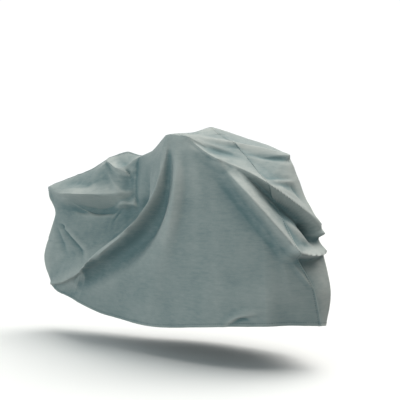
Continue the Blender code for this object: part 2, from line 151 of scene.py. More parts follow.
# Each side then has one row for each section, with the places it passes: its
# shoulder, its edge, its waist, its skirt and its hem. The sections fan out
# from the grip, as the cloth's own folds do. The last two columns tell how
# crisp a crease runs along the shoulder and along the edge, from 0 to 1.
Side = namedtuple(
    "Side",
    "shoulder_x shoulder_y shoulder_z edge_x edge_y edge_z waist_x waist_y waist_z "
    "skirt_x skirt_y skirt_z hem_x hem_y hem_z shoulder_crease edge_crease",
)
PLACE_COLUMNS = 15  # how many of the columns are places; the rest are creases
REAR_END = Side(
    -0.9, 0.0, 0.8, -0.885, 0.0, 0.755, -0.84, 0.0, 0.665,
    -0.905, 0.0, 0.42, -0.85, 0.0, 0.262, 0.0, 0.0,
)
FRONT_END = Side(
    0.688, -0.177, 0.842, 0.757, -0.172, 0.735, 0.812, -0.175, 0.585,
    0.896, -0.095, 0.36, 0.902, -0.048, 0.212, 0.2, 0.0,
)
RIGHT_SIDE = [
    REAR_END,
    Side(-0.855, -0.025, 0.828, -0.84, -0.045, 0.802, -0.81, -0.025, 0.69,
         -0.88, -0.05, 0.42, -0.835, -0.035, 0.26, 0.0, 0.4),
    Side(-0.7, -0.055, 0.83, -0.67, -0.095, 0.775, -0.7, -0.04, 0.685,
         -0.775, -0.08, 0.42, -0.795, -0.055, 0.251, 0.0, 0.9),
    Side(-0.52, -0.055, 0.865, -0.5, -0.112, 0.768, -0.52, -0.042, 0.675,
         -0.66, -0.095, 0.42, -0.755, -0.07, 0.241, 0.0, 1.0),
    Side(-0.405, -0.045, 0.95, -0.38, -0.112, 0.768, -0.38, -0.04, 0.668,
         -0.57, -0.105, 0.42, -0.715, -0.08, 0.232, 0.7, 1.0),
    Side(-0.27, -0.09, 0.905, -0.26, -0.106, 0.775, -0.25, -0.045, 0.675,
         -0.51, -0.115, 0.42, -0.68, -0.088, 0.224, 0.9, 0.9),
    Side(-0.16, -0.055, 0.978, -0.17, -0.07, 0.81, -0.16, -0.055, 0.7,
         -0.455, -0.125, 0.42, -0.645, -0.096, 0.216, 0.6, 0.3),
    Side(0.02, -0.16, 1.005, 0.02, -0.195, 0.86, -0.02, -0.145, 0.69,
         -0.405, -0.15, 0.43, -0.605, -0.105, 0.208, 0.8, 0.0),
    Side(0.212, -0.292, 1.068, 0.185, -0.318, 0.86, 0.06, -0.305, 0.68,
         -0.33, -0.2, 0.45, -0.54, -0.12, 0.196, 0.8, 0.0),
    Side(0.238, -0.298, 1.07, 0.222, -0.302, 0.87, 0.13, -0.28, 0.63,
         -0.08, -0.232, 0.38, -0.29, -0.165, 0.155, 0.8, 0.0),
    Side(0.28, -0.3, 1.068, 0.3, -0.318, 0.87, 0.27, -0.3, 0.62,
         0.18, -0.275, 0.38, 0.05, -0.235, 0.145, 0.8, 0.0),
    Side(0.335, -0.298, 1.058, 0.4, -0.31, 0.87, 0.43, -0.295, 0.62,
         0.42, -0.275, 0.38, 0.4, -0.26, 0.18, 0.7, 0.0),
    Side(0.445, -0.262, 1.0, 0.54, -0.275, 0.87, 0.59, -0.275, 0.62,
         0.59, -0.255, 0.38, 0.58, -0.23, 0.2, 0.3, 0.0),
    Side(0.545, -0.235, 0.945, 0.635, -0.247, 0.83, 0.71, -0.242, 0.61,
         0.72, -0.225, 0.38, 0.71, -0.195, 0.21, 0.3, 0.0),
    Side(0.62, -0.207, 0.895, 0.7, -0.21, 0.78, 0.77, -0.21, 0.595,
         0.81, -0.17, 0.38, 0.8, -0.13, 0.214, 0.2, 0.0),
    FRONT_END,
]
LEFT_SIDE = [
    REAR_END,
    Side(-0.855, 0.03, 0.825, -0.85, 0.055, 0.795, -0.81, 0.04, 0.68,
         -0.88, 0.05, 0.42, -0.84, 0.04, 0.245, 0.0, 0.4),
    Side(-0.7, 0.05, 0.845, -0.68, 0.095, 0.79, -0.68, 0.06, 0.675,
         -0.72, 0.09, 0.42, -0.71, 0.08, 0.225, 0.0, 0.7),
    Side(-0.52, 0.055, 0.875, -0.5, 0.108, 0.785, -0.5, 0.07, 0.665,
         -0.55, 0.115, 0.42, -0.56, 0.11, 0.2, 0.0, 0.8),
    Side(-0.405, 0.055, 0.95, -0.38, 0.11, 0.785, -0.38, 0.075, 0.66,
         -0.42, 0.13, 0.42, -0.44, 0.13, 0.185, 0.7, 0.8),
    Side(-0.27, 0.085, 0.925, -0.26, 0.112, 0.785, -0.25, 0.085, 0.66,
         -0.28, 0.145, 0.42, -0.3, 0.15, 0.172, 0.8, 0.6),
    Side(-0.18, 0.075, 0.905, -0.17, 0.105, 0.79, -0.16, 0.11, 0.66,
         -0.19, 0.165, 0.42, -0.21, 0.17, 0.165, 0.5, 0.3),
    Side(-0.01, 0.14, 1.01, -0.015, 0.16, 0.86, -0.02, 0.18, 0.66,
         -0.06, 0.205, 0.42, -0.08, 0.205, 0.16, 0.6, 0.0),
    Side(0.19, 0.285, 1.075, 0.16, 0.305, 0.87, 0.13, 0.29, 0.65,
         0.08, 0.27, 0.4, 0.05, 0.25, 0.15, 0.5, 0.0),
    Side(0.22, 0.297, 1.08, 0.21, 0.315, 0.87, 0.19, 0.31, 0.64,
         0.16, 0.295, 0.4, 0.14, 0.265, 0.15, 0.5, 0.0),
    Side(0.255, 0.3, 1.08, 0.27, 0.31, 0.87, 0.27, 0.305, 0.64,
         0.27, 0.29, 0.4, 0.26, 0.27, 0.15, 0.5, 0.0),
    Side(0.33, 0.29, 1.062, 0.39, 0.31, 0.86, 0.42, 0.3, 0.64,
         0.43, 0.285, 0.4, 0.42, 0.265, 0.16, 0.4, 0.0),
    Side(0.47, 0.19, 1.035, 0.56, 0.255, 0.85, 0.61, 0.26, 0.63,
         0.64, 0.26, 0.4, 0.62, 0.235, 0.175, 0.3, 0.0),
    Side(0.6, 0.095, 1.0, 0.64, 0.145, 0.83, 0.7, 0.16, 0.62,
         0.745, 0.165, 0.36, 0.735, 0.15, 0.19, 0.3, 0.0),
    Side(0.697, 0.0, 0.963, 0.772, 0.005, 0.82, 0.848, 0.0, 0.64,
         0.912, 0.022, 0.35, 0.89, 0.022, 0.203, 0.6, 0.0),
    FRONT_END,
]

# Folds. Each is a crest, or a trough where its heights are negative, along a
# curve in its view: start, two handles and end, each as a distance to the right
# and a height. The lift of the fold follows, then its width to the left and right
# of the curve's run, and how crisp it is, from 0 to 1.
RIGHT, LEFT, FRONT = "right", "left", "front"
# How much of x and of y counts to the right in the view that a fold of each kind
# is drawn in: from the side, or from the front quarter
VIEWS = {RIGHT: (1.0, 0.0), LEFT: (1.0, 0.0), FRONT: (0.803, 0.596)}
# Where a fold of each kind fades out across the cover: the sign of y that it
# lies on, where it has gone, and over what width
FADES = {RIGHT: (-1, 0.03, 0.05), LEFT: (1, 0.03, 0.05), FRONT: (-1, 0.16, 0.12)}
Fold = namedtuple(
    "Fold",
    "name side u0 z0 u1 z1 u2 z2 u3 z3 "
    "high_start high_mid high_end wide_left wide_right crisp",
)
FOLDS = [
    Fold("swag crest", RIGHT, 0.235, 1.06, 0.205, 0.67, -0.095, 0.515, -0.79, 0.282,
         0.0, 0.022, 0.018, 0.026, 0.05, 0.85),
    Fold("swag foot", RIGHT, -0.12, 0.53, -0.3, 0.44, -0.55, 0.4, -0.8, 0.25,
         0.0, 0.06, 0.0, 0.12, 0.1, 0.1),
    Fold("hollow beside swag", RIGHT, 0.256, 1.0, 0.232, 0.69, 0.025, 0.44, -0.475, 0.322,
         0.0, -0.04, -0.015, 0.07, 0.1, 0.0),
    Fold("soft crest from grip", RIGHT, 0.26, 1.03, 0.31, 0.8, 0.26, 0.55, 0.02, 0.36,
         0.0, 0.016, 0.0, 0.08, 0.1, 0.0),
    Fold("ridge over basket", FRONT, 0.079, 1.065, 0.24, 1.03, 0.4, 0.995, 0.56, 0.963,
         0.0, 0.012, 0.006, 0.04, 0.03, 0.6),
    Fold("ridge from grip", FRONT, 0.085, 1.06, 0.14, 1.02, 0.2, 0.965, 0.27, 0.928,
         0.0, 0.012, 0.016, 0.04, 0.05, 0.6),
    Fold("front ridge", FRONT, 0.25, 0.936, 0.36, 0.905, 0.52, 0.78, 0.715, 0.628,
         0.01, 0.036, 0.02, 0.07, 0.04, 0.6),
    Fold("nose of front ridge", FRONT, 0.62, 0.69, 0.64, 0.67, 0.655, 0.65, 0.672, 0.62,
         0.0, 0.026, 0.062, 0.026, 0.04, 0.3),
    Fold("second front ridge", FRONT, 0.25, 0.925, 0.335, 0.845, 0.43, 0.7, 0.555, 0.56,
         0.008, 0.04, 0.03, 0.06, 0.07, 0.3),
    Fold("hollow under front ridge", FRONT, 0.4, 0.81, 0.48, 0.75, 0.57, 0.68, 0.65, 0.615,
         0.0, -0.022, -0.015, 0.03, 0.03, 0.1),
    Fold("front pocket", FRONT, 0.605, 0.662, 0.63, 0.635, 0.65, 0.61, 0.665, 0.585,
         -0.005, -0.036, -0.012, 0.03, 0.03, 0.0),
    Fold("sag beside stem", FRONT, 0.04, 1.08, 0.09, 1.088, 0.14, 1.1, 0.19, 1.112,
         0.0, -0.014, 0.0, 0.045, 0.045, 0.0),
    Fold("flap over front wheel", FRONT, 0.545, 0.55, 0.6, 0.535, 0.65, 0.53, 0.72, 0.54,
         0.01, 0.034, 0.004, 0.034, 0.012, 0.2),
    Fold("crease behind neck", RIGHT, -0.8, 0.61, -0.77, 0.56, -0.72, 0.49, -0.62, 0.43,
         -0.006, -0.01, 0.0, 0.03, 0.04, 0.3),
    Fold("left swag", LEFT, 0.2, 1.05, 0.16, 0.75, 0.02, 0.52, -0.36, 0.32,
         0.0, 0.026, 0.0, 0.1, 0.08, 0.2),
    Fold("left ridge", LEFT, 0.33, 1.05, 0.44, 0.9, 0.56, 0.66, 0.62, 0.4,
         0.0, 0.022, 0.0, 0.07, 0.07, 0.2),
    Fold("left middle fold", LEFT, 0.27, 1.0, 0.27, 0.8, 0.24, 0.6, 0.2, 0.36,
         0.0, 0.014, 0.0, 0.06, 0.06, 0.1),
]

# Finer creases, rims and hollows, in the same columns.
CREASES = [
    # rear: the rack, the saddle and what hangs under them
    Fold("rack lip", RIGHT, -0.76, 0.79, -0.62, 0.755, -0.36, 0.764, -0.205, 0.782,
         0.002, 0.036, 0.016, 0.08, 0.012, 0.8),
    Fold("hollow under rack lip", RIGHT, -0.66, 0.742, -0.5, 0.736, -0.36, 0.741, -0.25, 0.763,
         -0.01, -0.082, -0.014, 0.022, 0.085, 0.2),
    Fold("left end of rack hollow", RIGHT, -0.7, 0.77, -0.6, 0.72, -0.52, 0.68, -0.44, 0.65,
         0.004, 0.008, 0.0, 0.018, 0.035, 0.9),
    Fold("tucked triangle", RIGHT, -0.31, 0.736, -0.27, 0.73, -0.22, 0.722, -0.175, 0.716,
         0.004, 0.028, 0.016, 0.05, 0.01, 0.5),
    Fold("upright edge by saddle", RIGHT, -0.185, 0.985, -0.165, 0.9, -0.155, 0.8, -0.178, 0.715,
         0.0, 0.018, 0.012, 0.016, 0.05, 0.9),
    Fold("hollow behind near grip", RIGHT, 0.01, 0.92, 0.0, 0.86, -0.02, 0.79, -0.05, 0.71,
         0.0, -0.036, -0.055, 0.07, 0.1, 0.0),
    Fold("saddle rim", RIGHT, -0.42, 0.965, -0.35, 0.925, -0.28, 0.9, -0.21, 0.882,
         0.006, 0.028, 0.02, 0.055, 0.008, 0.9),
    Fold("saddle pinch", RIGHT, -0.215, 0.905, -0.205, 0.895, -0.2, 0.885, -0.195, 0.87,
         -0.01, -0.022, -0.006, 0.012, 0.012, 0.2),
    Fold("saddle to rack crease", RIGHT, -0.406, 0.925, -0.35, 0.89, -0.285, 0.83, -0.232, 0.786,
         0.0, 0.007, 0.004, 0.035, 0.035, 0.9),
    Fold("short crease under rack", RIGHT, -0.29, 0.715, -0.32, 0.69, -0.345, 0.66, -0.365, 0.625,
         -0.004, -0.009, 0.0, 0.02, 0.014, 0.8),
    Fold("dimple at neck", RIGHT, -0.765, 0.602, -0.75, 0.6, -0.74, 0.598, -0.722, 0.596,
         -0.01, -0.024, -0.008, 0.018, 0.02, 0.2),
    Fold("rear crease", RIGHT, -0.735, 0.592, -0.68, 0.56, -0.57, 0.485, -0.47, 0.44,
         -0.006, -0.014, -0.004, 0.014, 0.034, 1.0),
    Fold("rear ridge", RIGHT, -0.7, 0.59, -0.62, 0.545, -0.52, 0.488, -0.415, 0.446,
         0.0, 0.01, 0.004, 0.026, 0.018, 0.6),
    Fold("neck crease", RIGHT, -0.86, 0.515, -0.8, 0.505, -0.74, 0.508, -0.68, 0.5,
         -0.01, -0.006, 0.0, 0.014, 0.018, 0.8),
    # the swag from the near grip to the rear hem
    Fold("swag rim", RIGHT, 0.232, 1.05, 0.222, 0.8, 0.065, 0.548, -0.415, 0.422,
         0.002, 0.007, 0.006, 0.016, 0.03, 0.9),
    Fold("swag trough", RIGHT, 0.248, 1.0, 0.236, 0.79, 0.08, 0.533, -0.375, 0.398,
         -0.004, -0.018, -0.014, 0.085, 0.022, 0.2),
    Fold("soft crest beside swag", RIGHT, 0.245, 1.04, 0.335, 0.88, 0.315, 0.7, 0.18, 0.55,
         0.004, 0.014, 0.0, 0.05, 0.035, 0.3),
    Fold("swag end", RIGHT, -0.41, 0.398, -0.54, 0.402, -0.6, 0.35, -0.79, 0.283,
         0.008, 0.016, 0.006, 0.016, 0.04, 0.5),
    # front: ridges from the grip over the basket to the front wheel
    Fold("rim of ridge over basket", FRONT, 0.079, 1.066, 0.24, 1.031, 0.4, 0.996, 0.56, 0.964,
         0.008, 0.018, 0.012, 0.026, 0.014, 0.8),
    Fold("valley under basket ridge", FRONT, 0.103, 1.037, 0.178, 1.011, 0.244, 0.989, 0.354, 0.954,
         -0.004, -0.022, 0.0, 0.018, 0.035, 0.3),
    Fold("crease under basket ridge", FRONT, 0.36, 0.985, 0.42, 0.966, 0.48, 0.958, 0.565, 0.949,
         0.0, -0.01, -0.006, 0.012, 0.02, 0.4),
    Fold("rim from grip", FRONT, 0.095, 1.052, 0.14, 1.018, 0.2, 0.962, 0.262, 0.931,
         0.003, 0.01, 0.01, 0.018, 0.012, 0.7),
    Fold("front ridge rim", FRONT, 0.262, 0.935, 0.36, 0.906, 0.52, 0.782, 0.715, 0.63,
         0.004, 0.014, 0.012, 0.03, 0.014, 0.7),
    Fold("dark run under front ridge", FRONT, 0.345, 0.885, 0.45, 0.815, 0.56, 0.725, 0.665, 0.63,
         -0.004, -0.034, -0.03, 0.018, 0.026, 0.1),
    Fold("second ridge rim", FRONT, 0.262, 0.92, 0.335, 0.845, 0.43, 0.7, 0.555, 0.56,
         0.003, 0.01, 0.008, 0.022, 0.022, 0.6),
    Fold("facet over second ridge", FRONT, 0.3, 0.885, 0.355, 0.82, 0.44, 0.7, 0.56, 0.56,
         0.0, 0.034, 0.026, 0.065, 0.04, 0.5),
    Fold("deep of front pocket", FRONT, 0.63, 0.65, 0.64, 0.63, 0.655, 0.61, 0.672, 0.585,
         -0.012, -0.07, -0.02, 0.026, 0.026, 0.1),
    Fold("swell over flap", FRONT, 0.53, 0.7, 0.56, 0.66, 0.585, 0.63, 0.61, 0.59,
         0.0, 0.018, 0.008, 0.04, 0.035, 0.2),
    Fold("lip of flap", FRONT, 0.555, 0.538, 0.6, 0.526, 0.65, 0.522, 0.7, 0.536,
         0.012, 0.04, 0.02, 0.055, 0.018, 0.5),
    Fold("slit over flap", FRONT, 0.548, 0.568, 0.565, 0.561, 0.585, 0.554, 0.61, 0.549,
         -0.002, -0.012, -0.003, 0.014, 0.01, 0.2),
    Fold("level fold on front", FRONT, 0.43, 0.845, 0.49, 0.851, 0.55, 0.852, 0.6, 0.847,
         0.0, 0.01, 0.0, 0.014, 0.022, 0.8),
    Fold("front wrinkle one", FRONT, 0.49, 0.834, 0.52, 0.81, 0.555, 0.79, 0.6, 0.768,
         0.0, 0.009, 0.0, 0.014, 0.012, 0.8),
    Fold("front wrinkle two", FRONT, 0.565, 0.845, 0.575, 0.82, 0.59, 0.79, 0.62, 0.75,
         0.0, -0.009, 0.0, 0.014, 0.012, 0.8),
    Fold("crease on front patch", FRONT, 0.513, 0.68, 0.522, 0.65, 0.531, 0.61, 0.545, 0.565,
         0.0, -0.004, -0.003, 0.008, 0.01, 0.6),
    Fold("lower front crease", FRONT, 0.557, 0.503, 0.594, 0.454, 0.63, 0.409, 0.665, 0.365,
         0.0, 0.006, 0.0, 0.014, 0.02, 0.9),
    Fold("hem fold", RIGHT, 0.51, 0.198, 0.57, 0.245, 0.62, 0.262, 0.7, 0.27,
         0.002, 0.009, 0.0, 0.035, 0.014, 0.4),
    Fold("hem shadow", RIGHT, 0.56, 0.222, 0.59, 0.236, 0.61, 0.242, 0.64, 0.24,
         0.0, -0.008, 0.0, 0.012, 0.014, 0.1),
    Fold("tuck behind stem", RIGHT, 0.335, 1.098, 0.34, 1.092, 0.345, 1.086, 0.352, 1.078,
         -0.004, -0.016, -0.004, 0.009, 0.007, 0.5),
]


# ------------------------------------------------------------- form functions


def monotone_curve(knots, values, at):
    """Values at the given places on a smooth curve through the knots that adds no humps."""
    knots, values = np.asarray(knots, float), np.asarray(values, float)
    steps = np.diff(knots)
    slopes = np.diff(values, axis=0) / steps.reshape(-1, *[1] * (values.ndim - 1))
    tangents = np.empty_like(values)
    tangents[0], tangents[-1] = slopes[0], slopes[-1]
    for i in range(1, len(knots) - 1):
        before, after = slopes[i - 1], slopes[i]
        first = 2 * steps[i] + steps[i - 1]
        second = steps[i] + 2 * steps[i - 1]
        same_way = before * after > 0
        safe_before = np.where(same_way, before, 1.0)
        safe_after = np.where(same_way, after, 1.0)
        mean = (first + second) / (first / safe_before + second / safe_after)
        tangents[i] = np.where(same_way, mean, 0.0)
    at = np.clip(np.asarray(at, float), knots[0], knots[-1])
    cell = np.clip(np.searchsorted(knots, at, side="right") - 1, 0, len(knots) - 2)
    shape = (-1, *[1] * (values.ndim - 1))
    width = steps[cell].reshape(shape)
    u = ((at - knots[cell]) / steps[cell]).reshape(shape)
    return (
        values[cell] * (1 + 2 * u) * (1 - u) ** 2
        + tangents[cell] * width * u * (1 - u) ** 2
        + values[cell + 1] * u**2 * (3 - 2 * u)
        + tangents[cell + 1] * width * u**2 * (u - 1)
    )


def control_points(side):
    """The sections' six places as an array: section, place, xyz."""
    seam = np.array([[p.x, p.y, p.z] for p in SEAM])
    down = np.array(side, float)[:, :PLACE_COLUMNS].reshape(len(side), 5, 3)
    return np.concatenate([seam[:, None], down], axis=1)


def section_places():
    """How far along the cover each section lies, from 0 to 1, shared by both sides."""
    both = np.concatenate([control_points(RIGHT_SIDE), control_points(LEFT_SIDE)], axis=1)
    spacing = np.linalg.norm(np.diff(both, axis=0), axis=2).mean(axis=1)
    places = np.concatenate([[0.0], np.cumsum(spacing)])
    return places / places[-1]


def creased_curve(knots, values, at, crease):
    """A smooth curve through the knots, drawn nearer to straight runs where creased."""
    smooth = monotone_curve(knots, values, at)
    cell = np.clip(np.searchsorted(knots, at, side="right") - 1, 0, len(knots) - 2)
    knots = np.asarray(knots, float)
    u = (at - knots[cell]) / (knots[cell + 1] - knots[cell])
    u = u.reshape(-1, *[1] * (values.ndim - 1))
    straight = values[cell] * (1 - u) + values[cell + 1] * u
    weight = np.interp(at, knots, crease).reshape(u.shape)
    return smooth + (straight - smooth) * weight


def column_places():
    """Where the columns stand, from 0 to 1, close together at the two end seams."""
    ends = np.array(END_STEPS)
    places, closeness = np.array(CROWDING).T
    fine = np.linspace(0, 1, 501)
    share = np.cumsum(np.interp(fine, places, closeness))
    share = (share - share[0]) / (share[-1] - share[0])
    middle = np.interp(np.linspace(0, 1, COLUMNS), share, fine)
    middle = ends[-1] + middle * (1 - 2 * ends[-1])
    return np.concatenate([ends[:-1], middle, 1 - ends[-2::-1]])


def row_places():
    """Where the rows lie, counted in levels, close together at the seam and the hem."""
    runs = []
    for level, (count, ease_in, ease_out) in enumerate(ROWS):
        t = np.linspace(0, 1, count, endpoint=False)
        t = t**ease_in
        t = 1 - (1 - t) ** ease_out
        runs.append(level + t)
    return np.concatenate([*runs, [float(len(ROWS))]])


def base_grid(side, other):
    """Points of one side before its folds: column, row, xyz. Row 0 is the top seam.

    The curves run on past the seam into the other side, so that the cloth
    bends smoothly where the two panels meet.
    """
    near, far = control_points(side), control_points(other)
    places = section_places()
    around = np.concatenate([far[1:2], near, far[-2:-1]])
    knots = np.concatenate([[-places[1]], places, [2 - places[-2]]])
    creases = np.array([0.0] + [p.crease for p in SEAM] + [0.0])
    at = column_places()
    along = creased_curve(knots, around, at, creases)
    across = creased_curve(knots, np.concatenate([near[1:2], far, near[-2:-1]]), at, creases)
    levels = np.arange(-1, along.shape[1])
    down = row_places()
    sharp = np.array(side, float)[:, PLACE_COLUMNS:]
    sharp = np.stack([np.interp(at, places, sharp[:, k]) for k in range(2)], axis=1)
    grid = []
    for column, over, crease in zip(along, across, sharp):
        row_crease = [0.0, SEAM_CREASE, *crease, 0.0, 0.0, 0.0]
        whole = np.concatenate([over[1:2], column])
        grid.append(creased_curve(levels, whole, down, row_crease))
    return np.stack(grid)


def bezier(fold, t):
    """Points along a fold's curve in its view."""
    ends = np.array(
        [[fold.u0, fold.z0], [fold.u1, fold.z1], [fold.u2, fold.z2], [fold.u3, fold.z3]]
    )
    t = t[:, None]
    return (
        ends[0] * (1 - t) ** 3
        + ends[1] * 3 * t * (1 - t) ** 2
        + ends[2] * 3 * t**2 * (1 - t)
        + ends[3] * t**3
    )


def smooth_step(x):
    x = np.clip(x, 0.0, 1.0)
    return x * x * (3 - 2 * x)


def fold_height(fold, points):
    """How far a fold lifts each point off the plain form.

    The fold is the outline of bumps on the short runs of its curve, each wider
    to one side of the curve than to the other.
    """
    flat = points.reshape(-1, 3)
    side, gone, fade = FADES[fold.side]
    along = np.linspace(0, 1, CURVE_RUNS + 1)
    path = bezier(fold, along)
    heights = [fold.high_start, fold.high_mid, fold.high_end]
    heights = monotone_curve([0, 0.5, 1], heights, along)
    sign = 1.0 if fold.high_mid > 0 else -1.0
    view = np.stack([flat[:, :2] @ VIEWS[fold.side], flat[:, 2]], axis=1)
    reach = max(fold.wide_left, fold.wide_right)
    near = np.all((view > path.min(0) - reach) & (view < path.max(0) + reach), axis=1)
    near &= side * flat[:, 1] > -gone
    seen = view[near]
    best = np.zeros(len(seen))
    for a, b, low, high in zip(path[:-1], path[1:], heights[:-1], heights[1:]):
        run = b - a
        length = np.linalg.norm(run) + 1e-9
        run = run / length
        offset = seen - a
        t = np.clip(offset @ run / length, 0, 1)
        away = offset - np.outer(t * length, run)
        distance = np.linalg.norm(away, axis=1) + 1e-9
        turn = (run[0] * away[:, 1] - run[1] * away[:, 0]) / distance
        left_share = smooth_step(0.5 + 0.5 * turn)
        width = fold.wide_right + (fold.wide_left - fold.wide_right) * left_share
        u = np.clip(distance / width, 0, 1)
        round_top = (1 - u**2) ** 2
        sharp_top = (1 - u) ** SHARP_POWER
        profile = round_top + (sharp_top - round_top) * fold.crisp
        best = np.maximum(best, profile * (low + (high - low) * t) * sign)
    lift = np.zeros(len(flat))
    lift[near] = best * sign
    lift *= smooth_step((side * flat[:, 1] + gone) / fade)
    return lift.reshape(points.shape[:2])


def fold_direction(points):
    """Unit directions away from the spine, in which folds stand off the plain form."""
    away = points.copy()
    away[..., 0] -= np.clip(points[..., 0], *SPINE_X)
    away[..., 2] = (points[..., 2] - SPINE_Z) * SPINE_FLATTEN
    return away / (np.linalg.norm(away, axis=-1, keepdims=True) + 1e-9)


def lattice(cells, seed):
    """A repeatable number from -1 to 1 for each whole-numbered cell."""
    mixed = np.zeros(cells.shape[:-1], np.int64) + seed * 2654435
    for k, prime in enumerate((73856093, 19349663, 83492791)[: cells.shape[-1]]):
        mixed ^= cells[..., k] * prime
    mixed = (mixed ^ (mixed >> 13)) * 1274126177 & 0x7FFFFFFF
    return (mixed % 20011) / 10005.0 - 1.0


def cloth_noise(places, seed):
    """Smooth repeatable noise from -1 to 1, in as many directions as places has columns."""
    cell = np.floor(places).astype(np.int64)
    part = smooth_step(places - cell)
    total = np.zeros(places.shape[:-1])
    directions = places.shape[-1]
    for corner in range(2**directions):
        step = np.array([(corner >> k) & 1 for k in range(directions)])
        weight = np.prod(np.where(step, part, 1 - part), axis=-1)
        total += weight * lattice(cell + step, seed)
    return total


def run_lengths(grid, axis):
    """Distance run along each line of a grid, from its start."""
    steps = np.linalg.norm(np.diff(grid, axis=axis), axis=2)
    pad = [(0, 0), (0, 0)]
    pad[axis] = (1, 0)
    return np.cumsum(np.pad(steps, pad), axis=axis)


def seam_and_hem(grid):
    """Each point's distance from the seam, along the cloth, and from the hem."""
    down = run_lengths(grid, 1)
    along = run_lengths(grid, 0)
    seam = np.minimum(down, np.minimum(along, along[-1] - along))
    return seam, down[:, -1:] - down


def unit(vectors):
    return vectors / (np.linalg.norm(vectors, axis=-1, keepdims=True) + 1e-12)


def outward(right, left):
    """Unit outward directions of both grids, the same for both along their seam."""
    n_right = unit(-np.cross(np.gradient(right, axis=0), np.gradient(right, axis=1)))
    n_left = unit(np.cross(np.gradient(left, axis=0), np.gradient(left, axis=1)))
    mean = n_right + n_left
    for where in ((slice(None), 0), (0, slice(None)), (-1, slice(None))):
        n_right[where] = mean[where]
        n_left[where] = mean[where]
    return unit(n_right), unit(n_left)


def slack(grid):
    """Small unevenness of the hanging cloth, in metres: soft swells, streaks and crumples."""
    place = np.stack(
        np.broadcast_arrays(column_places()[:, None], row_places()[None] / len(ROWS)), axis=-1
    )
    swell = cloth_noise(grid * SWELLS_PER_M, SLACK_SEED)
    streak = cloth_noise(place * STREAKS, SLACK_SEED + 1)
    crumple = np.abs(cloth_noise(grid * CRUMPLES_PER_M, SLACK_SEED + 2))
    finer = grid * CRUMPLES_PER_M * FINE_CRUMPLES + FINE_SHIFT
    crumple += 0.5 * np.abs(cloth_noise(finer, SLACK_SEED + 3))
    x, z = grid[..., 0], grid[..., 2]
    start, depth = STREAKED
    below_grips = smooth_step((start - z) / depth)
    start, width, bottom, depth = REAR_RUMPLE
    rear = smooth_step((start - x) / width) * smooth_step((z - bottom) / depth)
    start, width, bottom, depth = FRONT_RUMPLE
    front = smooth_step((x - start) / width) * smooth_step((z - bottom) / depth)
    rumpled = CALM + (1 - CALM) * np.maximum(rear, front)
    return SWELL * swell + STREAK * streak * below_grips - CRUMPLE * crumple * rumpled


def cover_grids(cloth):
    """The outer face of both sides, and its outward directions."""
    grids = []
    for side, other in ((RIGHT_SIDE, LEFT_SIDE), (LEFT_SIDE, RIGHT_SIDE)):
        grid = base_grid(side, other)
        lift = sum(fold_height(f, grid) for f in FOLDS + CREASES)
        grid = grid + fold_direction(grid) * lift[..., None]
        grid = grid + fold_direction(grid) * (slack(grid) * cloth.slack)[..., None]
        grids.append(grid)
    normals = outward(*grids)
    done = []
    layers, puckered = HEM_PUCKER
    sewn_width, sewn_depth = SEWN_GROOVE
    for grid, normal in zip(grids, normals):
        seam, hem = seam_and_hem(grid)
        pucker = cloth_noise(grid * PUCKERS_PER_M, PUCKER_SEED)
        ridge = np.exp(-((seam / cloth.seam_width) ** 2)) * (1 + SEAM_PUCKER * pucker)
        band = smooth_step((cloth.hem_width - hem) / HEM_STEP)
        sewn = np.exp(-(((hem - cloth.hem_width + HEM_SEWN) / sewn_width) ** 2))
        lift = cloth.seam_height * ridge + cloth.thickness * band * (layers + puckered * pucker)
        lift -= sewn_depth * sewn
        done.append(grid + normal * lift[..., None])
    return done, outward(*done)


def painted_shade_of(grid, normals):
    """Painted shade and highlight: how far each point stands out from its neighbours, from -1, a
    deep fold, to 1, a crest.
    """
    total = np.zeros(grid.shape[:2])
    for reach, share in PAINTED_SHADE_REACHES:
        for axis in (0, 1):
            padded = np.pad(grid, [(reach, reach) if k == axis else (0, 0) for k in range(3)],
                            mode="edge")
            length = grid.shape[axis]
            before = np.take(padded, range(0, length), axis=axis)
            after = np.take(padded, range(2 * reach, 2 * reach + length), axis=axis)
            span = np.linalg.norm(after - before, axis=2) + 1e-6
            stand = np.einsum("ijk,ijk->ij", grid - (before + after) / 2, normals)
            total += share * stand / span
    return np.clip(total * PAINTED_SHADE_GAIN, -1, 1)


def sheet_mesh(name, outer, inner, values):
    """One closed sheet between its outer and inner faces, with named values at its points."""
    columns, rows = outer.shape[:2]
    count = columns * rows
    index = np.arange(count).reshape(columns, rows)
    quads = np.stack(
        [index[:-1, :-1], index[1:, :-1], index[1:, 1:], index[:-1, 1:]], axis=-1
    ).reshape(-1, 4)
    rim = np.concatenate(
        [index[:-1, 0], index[-1, :-1], index[:0:-1, -1], index[0, :0:-1]]
    )
    after = np.roll(rim, -1)
    walls = np.stack([rim, rim + count, after + count, after], axis=-1)
    faces = np.concatenate([quads, quads[:, ::-1] + count, walls])
    mesh = bpy.data.meshes.new(name)
    points = np.concatenate([outer.reshape(-1, 3), inner.reshape(-1, 3)])
    mesh.from_pydata(points.tolist(), [], faces.tolist())
    for title, value in values.items():
        layer = mesh.attributes.new(title, "FLOAT", "POINT")
        layer.data.foreach_set("value", np.tile(value.reshape(-1), 2).astype(np.float32))
    shell = bmesh.new()
    shell.from_mesh(mesh)
    bmesh.ops.recalc_face_normals(shell, faces=shell.faces)
    shell.to_mesh(mesh)
    shell.free()
    mesh.shade_smooth()
    mesh.set_sharp_from_angle(angle=CREASE_ANGLE)
    return mesh


# ------------------------------------------------------------------ materials


def fill_sockets(tree, made, sockets):
    """Sets each of the sockets to its value, or links it to the socket given."""
    for key, value in sockets.items():
        value = value.output if isinstance(value, Wire) else value
        if isinstance(value, bpy.types.NodeSocket):
            tree.links.new(value, made.inputs[key])
        else:
            made.inputs[key].default_value = value


def add_node(tree, kind, settings=None, sockets=None):
    """Adds a node: its settings first, then the values or links of its sockets."""
    made = tree.nodes.new(kind)
    for key, value in (settings or {}).items():
        setattr(made, key, value)
    fill_sockets(tree, made, sockets or {})
    return made


